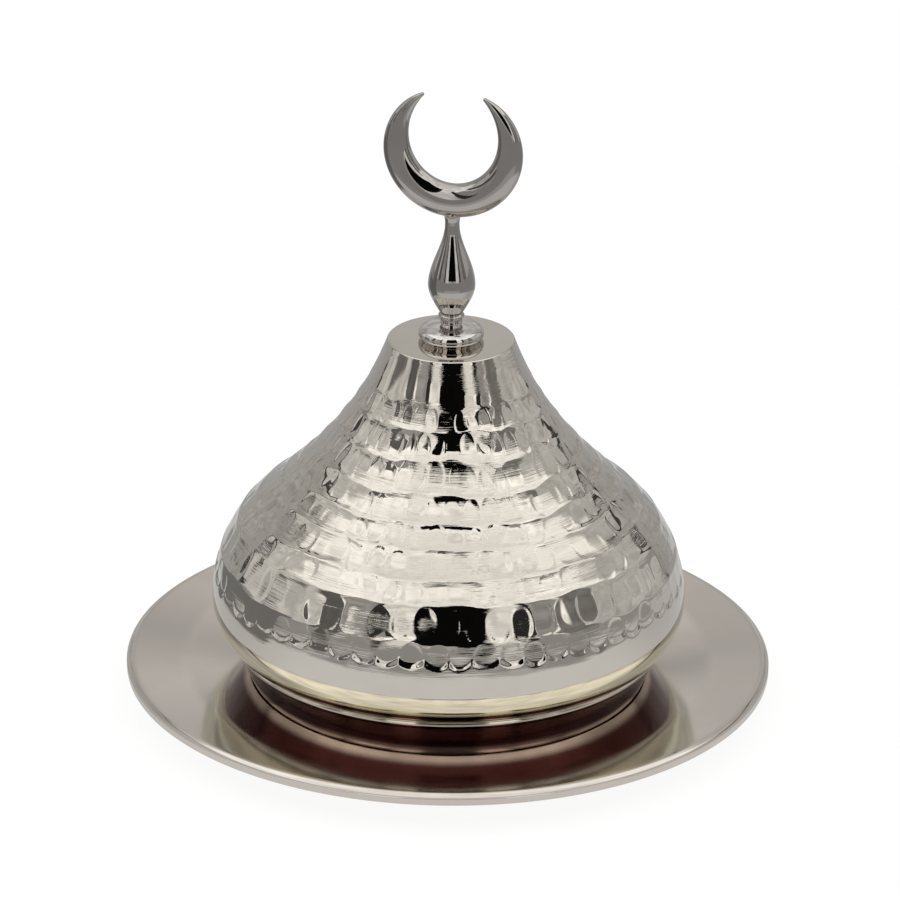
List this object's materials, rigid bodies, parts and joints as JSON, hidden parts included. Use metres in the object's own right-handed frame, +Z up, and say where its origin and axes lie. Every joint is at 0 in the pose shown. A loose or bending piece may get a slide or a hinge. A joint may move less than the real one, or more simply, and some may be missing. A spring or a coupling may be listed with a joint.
{
  "type": "lidded date bowl",
  "caption": "Round saucer with a central well, a low flared bowl standing in it, and an onion-shaped lift-off lid with a crescent finial.",
  "frame": {"origin": "centre of the flat underside of the saucer's well, where the object stands", "axes": "+Z up along the common axis of saucer, bowl and lid; the crescent stands in the XZ plane, with its horns up"},
  "size_m": [0.2, 0.2, 0.1965],
  "materials": {
    "brushed_nickel": "nickel plate, turned to a satin",
    "bowl_nickel": "nickel plate, polished",
    "hammered_nickel": "nickel plate, hammered and polished",
    "polished_nickel": "nickel plate, polished casting",
    "zinc_steel": "zinc plated"
  },
  "bodies": {
    "saucer": {"saucer": "brushed_nickel"},
    "bowl": {"date_bowl": "bowl_nickel"},
    "lid": {"lid_dome": "hammered_nickel", "finial_rosette": "polished_nickel", "finial_spindle": "polished_nickel", "crescent": "polished_nickel", "finial_stud": "zinc_steel", "lid_washer": "zinc_steel", "lid_nut": "zinc_steel"}
  },
  "joints": [
    {"name": "bowl_lift", "type": "slide", "parent": "saucer", "child": "bowl", "axis": [0, 0, 1], "range_m": [0, 0.06]},
    {"name": "lid_lift", "type": "slide", "parent": "bowl", "child": "lid", "axis": [0, 0, 1], "range_m": [0, 0.12]}
  ]
}
